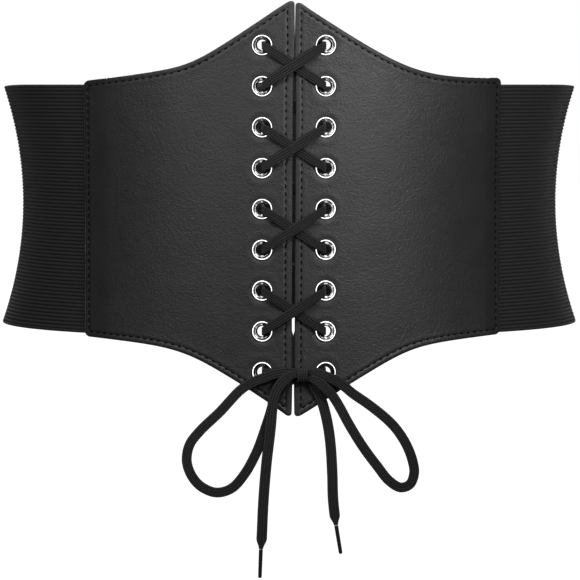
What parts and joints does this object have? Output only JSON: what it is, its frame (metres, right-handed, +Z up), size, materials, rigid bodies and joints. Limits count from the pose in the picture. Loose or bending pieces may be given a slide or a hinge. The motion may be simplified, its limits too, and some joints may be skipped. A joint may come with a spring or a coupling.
{
  "type": "lace-up corset belt",
  "caption": "Black lace-up corset belt with peaked faux-leather front panels, chrome eyelets, a lace tied in a bow, and wide ribbed elastic sides.",
  "frame": {"origin": "the middle of the waist hollow, at the height where the belt is narrowest", "axes": "+Z up, -Y towards the front with the lacing, +X to the right seen from the front"},
  "size_m": [0.2986, 0.2223, 0.2804],
  "materials": {
    "faux_leather": "fine-grained black faux leather with a soft sheen, stitched near its edges in black thread",
    "ribbed_elastic": "matte black woven elastic with level ribs and a smooth selvedge",
    "braided_lace": "flat tubular braid, matte black, with fine ridges along it",
    "eyelet_metal": "bright polished plating",
    "aglet_plastic": "glossy black film, rolled tight"
  },
  "bodies": {
    "root": {"panel_left": "faux_leather", "panel_right": "faux_leather", "back_strip": "faux_leather", "elastic_left": "ribbed_elastic", "elastic_right": "ribbed_elastic", "eyelet_left_1": "eyelet_metal", "eyelet_left_2": "eyelet_metal", "eyelet_left_3": "eyelet_metal", "eyelet_left_4": "eyelet_metal", "eyelet_left_5": "eyelet_metal", "eyelet_left_6": "eyelet_metal", "eyelet_left_7": "eyelet_metal", "eyelet_left_8": "eyelet_metal", "eyelet_left_9": "eyelet_metal", "eyelet_right_1": "eyelet_metal", "eyelet_right_2": "eyelet_metal", "eyelet_right_3": "eyelet_metal", "eyelet_right_4": "eyelet_metal", "eyelet_right_5": "eyelet_metal", "eyelet_right_6": "eyelet_metal", "eyelet_right_7": "eyelet_metal", "eyelet_right_8": "eyelet_metal", "eyelet_right_9": "eyelet_metal", "lace": "braided_lace", "bow_knot": "braided_lace", "bow_loop_left": "braided_lace", "bow_loop_right": "braided_lace", "lace_tail_left": "braided_lace", "lace_tail_right": "braided_lace", "aglet_left": "aglet_plastic", "aglet_right": "aglet_plastic"}
  },
  "joints": []
}
